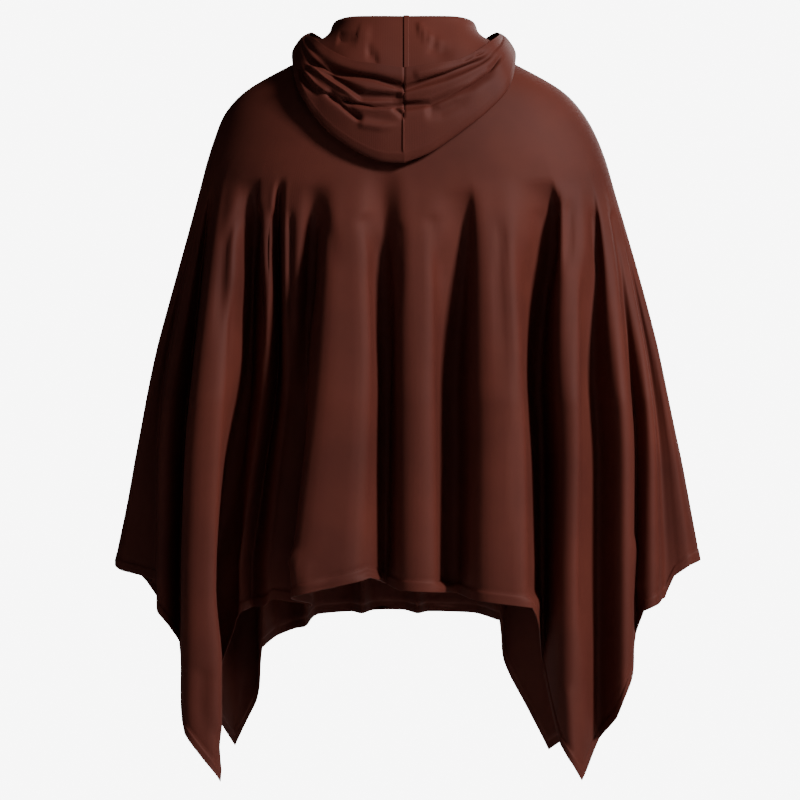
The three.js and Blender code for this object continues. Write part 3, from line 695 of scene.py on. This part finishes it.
# How far the bag's bottom is moved outwards, back and up from its section at each turn.
hoodLifts = {
    "left": [
        {"turn": 0, "by": (0, 0, 3)},
        {"turn": 20, "by": (2, 0, 3)},
        {"turn": 60, "by": (0, 0, 0)},
        {"turn": 180, "by": (0, 0, 0)},
    ],
    "right": [
        {"turn": 0, "by": (0, 0, 3)},
        {"turn": 20, "by": (3, 0, 13)},
        {"turn": 40, "by": (4, 0, 17)},
        {"turn": 60, "by": (2, 0, 13)},
        {"turn": 78, "by": (0, 0, 4)},
        {"turn": 95, "by": (0, 0, 0)},
        {"turn": 180, "by": (0, 0, 0)},
    ],
}
stationAt = {
    name: eased(hoodStations, "turn", name) for name in ("top", "bottom", "rim", "bulge", "belly", "roll")
}


def neckSeam(turn, beyond):
    # a point on the neckline, or beyond it in line with the panel there
    depthColumn = "behind" if turn <= 90 else "before"
    neckZ, neckSide = necklineAt(np.array(-math.sin(math.radians(turn))), depthColumn)
    edge = smoothPoint(neckSide, neckZ, depthColumn)
    littleBelow = neckZ - 2
    upwards = edge - smoothPoint(neckSide, littleBelow, depthColumn)
    edge = edge + upwards / np.linalg.norm(upwards) * beyond
    if turn > 90:
        edge[1] *= -1
    return edge


def creaseDepth(creases, share, turn):
    # how deep the creases between the swags are, at a share of the way up the bag
    sideways = min(turn / 90, 1)
    total = 0
    for crease in creases:
        at = crease["seam"] + (crease["side"] - crease["seam"]) * sideways
        begun = smoothStep(turn, crease["from"] - hoodCloth["fadeIn"], crease["from"])
        ended = smoothStep(turn, crease["to"] - hoodCloth["fadeOut"], crease["to"])
        depth = crease["depth"] * (1 - (1 - hoodCloth["sideCrease"]) * sideways) * begun * (1 - ended)
        total += depth * math.exp(-(((share - at) / crease["width"]) ** 2))
    return total


def hoodProfile(creases, turn, lifts):
    # a curve from the neck seam over the top roll, down to the bag's bottom and up to the rim
    top, bottom, rim, bulge, belly, roll = (stationAt[name](turn) for name in stationAt)
    bottom = bottom + lifts(turn)
    up = np.array([0, 0, 1.0])

    def unit(vector):
        return vector / np.linalg.norm(vector)

    seam = neckSeam(turn, garment["seamGap"])
    stand = neckSeam(turn, garment["seamGap"] + garment["seamStand"])
    across = unit((bottom - top) * (1, 1, 0))
    along = unit(bottom - top)
    away = unit(up - along * along[2])
    rimwards = unit(rim - bottom)
    spread = roll * (1 - along @ rimwards) / 2
    parted = hoodCloth["bottomRise"] * roll
    inner = bottom - along * parted - away * spread
    outer = bottom + rimwards * parted + away * spread
    rounded = [top + across * outwards * roll + up * upwards * roll for outwards, upwards in topRoll]
    rising = stand + (top - stand) * hoodCloth["standEase"] - across * roll / 2
    points = [seam, stand, rising, *rounded]
    for share in (0.25, 0.5, 0.75):
        over = rounded[-1]
        points.append(over + (inner - over) * share + away * bulge * math.sin(math.pi * share))
    points += [inner, bottom]
    for i in range(hoodCloth["bagPoints"] + 1):
        share = i / hoodCloth["bagPoints"]
        swell = belly * math.sin(math.pi * share) - creaseDepth(creases, share, turn)
        points.append(outer + (rim - outer) * share + away * swell)
    return np.array(points)


def curvePoints(points, shares):
    # points at shares of the way along a smooth curve through the given ones
    at = (len(points) - 1) * shares
    index = np.minimum(np.floor(at).astype(int), len(points) - 2)
    ends = [2 * points[0] - points[1]], points, [2 * points[-1] - points[-2]]
    led = np.concatenate(ends)
    return splinePoint(led[index], led[index + 1], led[index + 2], led[index + 3], at - index)


def hoodPoints(creases, sign, lifts):
    # rows from the rim to the neck seam, each running to the right as faced from outside
    shares = np.linspace(1, 0, hoodCloth["rows"])
    turns = 180 * np.linspace(0, 1, hoodCloth["columns"]) ** hoodCloth["crowding"]
    if sign < 0:
        turns = turns[::-1]
    profiles = [hoodProfile(creases, turn, lifts) for turn in turns]
    points = np.stack([curvePoints(profile, shares) for profile in profiles], 1)
    points[..., 0] = sign * np.maximum(-points[..., 0], hoodCloth["seamGap"] / 2)
    return points, shares[:, None] * (len(profiles[0]) - 1)


def seamed(points, onBag, sign):
    # the centre seam is drawn in, and below the swags the left half's edge stands up as a fin
    x = np.abs(points[..., 0])
    z = points[..., 2]
    turned = smoothStep(-z, *centreSeam["turns"])
    finShape = np.exp(-(((x - centreSeam["finAt"]) / centreSeam["finWidth"]) ** 2))
    fin = centreSeam["finHeight"] * finShape * turned if sign < 0 else 0
    groove = centreSeam["grooveDepth"] * np.exp(-((x / centreSeam["grooveWidth"]) ** 2)) * (1 - turned)
    return points + gridNormals(points) * ((fin - groove) * onBag)[..., None]


allowance = {"across": (-0.6, 0.8, 2.2, 3.6, 5.0, 6.2), "lift": 1.1, "thickness": 0.9}
hoodSides = {"left": (leftCreases, leftBag, leftNape, -1), "right": (rightCreases, rightBag, rightNape, 1)}
for sideName, (creases, bag, nape, sign) in hoodSides.items():
    points, place = hoodPoints(creases, sign, eased(hoodLifts[sideName], "turn", "by"))
    onBag = smoothStep(place, *hoodCloth["bagBegins"])
    onNape = smoothStep(place, *hoodCloth["napeBegins"]) * (1 - smoothStep(place, *hoodCloth["napeEnds"]))
    points = creased(points, bag, 1, onBag * hoodCloth["crispness"])
    points = creased(points, nape, -1, onNape * hoodCloth["crispness"])
    points = seamed(points, onBag, sign)
    points[..., 0] = sign * np.maximum(sign * points[..., 0], hoodCloth["seamGap"] / 2)
    hood = clothPiece(f"hood.{sideName}", points, f"hood_{sideName}", garment["clothThickness"])
    if sign > 0:
        # the seam's allowances, pressed to the right over the join inside the nape
        low, high = hoodCloth["allowanceSpan"]
        rows = np.flatnonzero((place[:, 0] > low) & (place[:, 0] < high))
        middle = points[rows, 0] - gridNormals(points)[rows, 0] * allowance["lift"]
        strip = np.repeat(middle[:, None, :], len(allowance["across"]), 1)
        strip[..., 0] = allowance["across"]
        strip = clothPiece("hood.allowance", strip, "hood_right", allowance["thickness"], whole=False)
print("the hood lies back")


# ---- the cloth's finish ----
def linear(hexColour):
    # an sRGB hex colour as linear values
    parts = [int(hexColour[i : i + 2], 16) / 255 for i in (1, 3, 5)]
    return [*((p / 12.92 if p <= 0.04045 else ((p + 0.055) / 1.055) ** 2.4) for p in parts), 1]


def addNode(tree, kind, settings=None, links=None):
    # a node with its settings, and what each of its inputs is joined to
    node = tree.nodes.new(kind)
    for name, value in (settings or {}).items():
        if name in node.inputs:
            node.inputs[name].default_value = value
        else:
            setattr(node, name, value)
    for name, source in (links or {}).items():
        tree.links.new(source, node.inputs[name])
    return node


jersey = {
    "deep": "#451b13",
    "main": "#54241a",
    "wale": 1.6,  # mm between the knit's ribs, which are really 0.8 and drawn coarser to show
    "relief": 0.1,  # how strongly the ribs show
    "roughness": 0.72,
    "specular": 0.2,
    "sheen": 0.06,
    "sheenRoughness": 0.4,
    "sheenTint": "#8a3a28",
    "blend": (0.3, 0.7),  # where the broad mottling turns from the deep to the main colour
    "mottling": 7,
    "fuzz": 900,
    "waver": 0.6,  # how much the ribs waver
    "reliefDepth": 0.0004,
}


def jerseyMaterial(name, look):
    # plain jersey: matt, with a soft bloom where it turns away from the eye
    material = bpy.data.materials.new(name)
    material.use_nodes = True
    tree = material.node_tree
    tree.nodes.clear()
    cloth = addNode(tree, "ShaderNodeUVMap", {"uv_map": "cloth"})
    solid = addNode(tree, "ShaderNodeTexCoord")
    onSolid, onCloth = {"Vector": solid.outputs["Object"]}, {"Vector": cloth.outputs["UV"]}
    broad = addNode(tree, "ShaderNodeTexNoise", {"Scale": look["mottling"], "Detail": 4}, onSolid)
    fine = addNode(tree, "ShaderNodeTexNoise", {"Scale": look["fuzz"], "Detail": 2}, onCloth)
    ramp = addNode(tree, "ShaderNodeValToRGB", links={"Fac": broad.outputs["Fac"]})
    for stop, position, colour in zip(ramp.color_ramp.elements, look["blend"], ("deep", "main")):
        stop.position = position
        stop.color = linear(look[colour])
    # a wave texture has 20 / 2 pi bands to a unit of its scale
    ribbing = {
        "Scale": 2 * math.pi / (look["wale"] * mm) / 20,
        "Distortion": look["waver"],
        "Detail": 1,
        "bands_direction": "X",
    }
    ribs = addNode(tree, "ShaderNodeTexWave", ribbing, onCloth)
    both = {0: ribs.outputs["Fac"], 1: fine.outputs["Fac"]}
    height = addNode(tree, "ShaderNodeMath", {"operation": "ADD"}, both)
    raised = {"Height": height.outputs[0]}
    relief = {"Strength": look["relief"], "Distance": look["reliefDepth"]}
    bump = addNode(tree, "ShaderNodeBump", relief, raised)
    shader = addNode(
        tree,
        "ShaderNodeBsdfPrincipled",
        {
            "Roughness": look["roughness"],
            "Specular IOR Level": look["specular"],
            "Sheen Weight": look["sheen"],
            "Sheen Roughness": look["sheenRoughness"],
            "Sheen Tint": linear(look["sheenTint"]),
        },
        {"Base Color": ramp.outputs["Color"], "Normal": bump.outputs["Normal"]},
    )
    addNode(tree, "ShaderNodeOutputMaterial", links={"Surface": shader.outputs["BSDF"]})
    return material


brown = jerseyMaterial("brownJersey", jersey)
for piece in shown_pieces():
    piece.data.materials.clear()
    piece.data.materials.append(brown)
print("the jersey is dyed")

# ---- camera, lights and backdrop ----
studio = {
    "cameraPlace": (-0.0052, -4.0, -0.467),
    "sensor": 36,
    "lens": 36 * 4 / 1.04,  # 1.04 m of width fills the view at 4 m
    "clip": (0.05, 60),
    "aim": (0, 0, -0.45),  # what the lamps point at
    "floorZ": -1.45,
    "floorHalf": 1.6,
    "floorColour": "#d8d8d8",
    "floorRoughness": 0.9,
    "ambient": 0.02,
    "background": 8,
}
floorGrid = bmesh.new()
bmesh.ops.create_grid(floorGrid, x_segments=1, y_segments=1, size=studio["floorHalf"])
bmesh.ops.translate(floorGrid, verts=floorGrid.verts, vec=(0, 0, studio["floorZ"]))
floorMesh = bpy.data.meshes.new("floor")
floorGrid.to_mesh(floorMesh)
floorGrid.free()
floor = bpy.data.objects.new("floor", floorMesh)
bpy.context.collection.objects.link(floor)
paper = bpy.data.materials.new("palePaper")
paper.use_nodes = True
paperInputs = paper.node_tree.nodes["Principled BSDF"].inputs
paperInputs["Base Color"].default_value = linear(studio["floorColour"])
paperInputs["Roughness"].default_value = studio["floorRoughness"]
floor.data.materials.append(paper)

camera = bpy.data.objects.new("camera", bpy.data.cameras.new("camera"))
bpy.context.collection.objects.link(camera)
camera.location = studio["cameraPlace"]
camera.rotation_euler = (math.pi / 2, 0, 0)
camera.data.sensor_width = studio["sensor"]
camera.data.lens = studio["lens"]
camera.data.clip_start, camera.data.clip_end = studio["clip"]
bpy.context.scene.camera = camera

lights = {
    "key": {"place": (2.57, -2.08, 1.62), "size": 0.6, "power": 245},
    "front": {"place": (0.5, -3.3, 1.5), "size": 0.6, "power": 7},
    "left": {"place": (-3.1, -1.8, 1.1), "size": 0.6, "power": 7},
    "behind": {"place": (1.8, 3.4, 1.2), "size": 1.6, "power": 80},
}
for name, look in lights.items():
    lamp = bpy.data.lights.new(name, "AREA")
    lamp.size, lamp.energy = look["size"], look["power"]
    light = bpy.data.objects.new(name, lamp)
    bpy.context.collection.objects.link(light)
    light.location = look["place"]
    aim = Vector(studio["aim"]) - light.location
    light.rotation_euler = aim.to_track_quat("-Z", "Y").to_euler()

world = bpy.data.worlds.new("studio")
bpy.context.scene.world = world
world.use_nodes = True
air = world.node_tree
air.nodes.clear()
# the white backdrop looks brighter than the light that it gives
seen = addNode(air, "ShaderNodeLightPath")
white = (1, 1, 1, 1)
given = addNode(air, "ShaderNodeBackground", {"Color": white, "Strength": studio["ambient"]})
shown = addNode(air, "ShaderNodeBackground", {"Color": white, "Strength": studio["background"]})
mixed = addNode(air, "ShaderNodeMixShader", links={
    0: seen.outputs["Is Camera Ray"], 1: given.outputs[0], 2: shown.outputs[0],
})
addNode(air, "ShaderNodeOutputWorld", links={"Surface": mixed.outputs[0]})
print("the studio is lit")
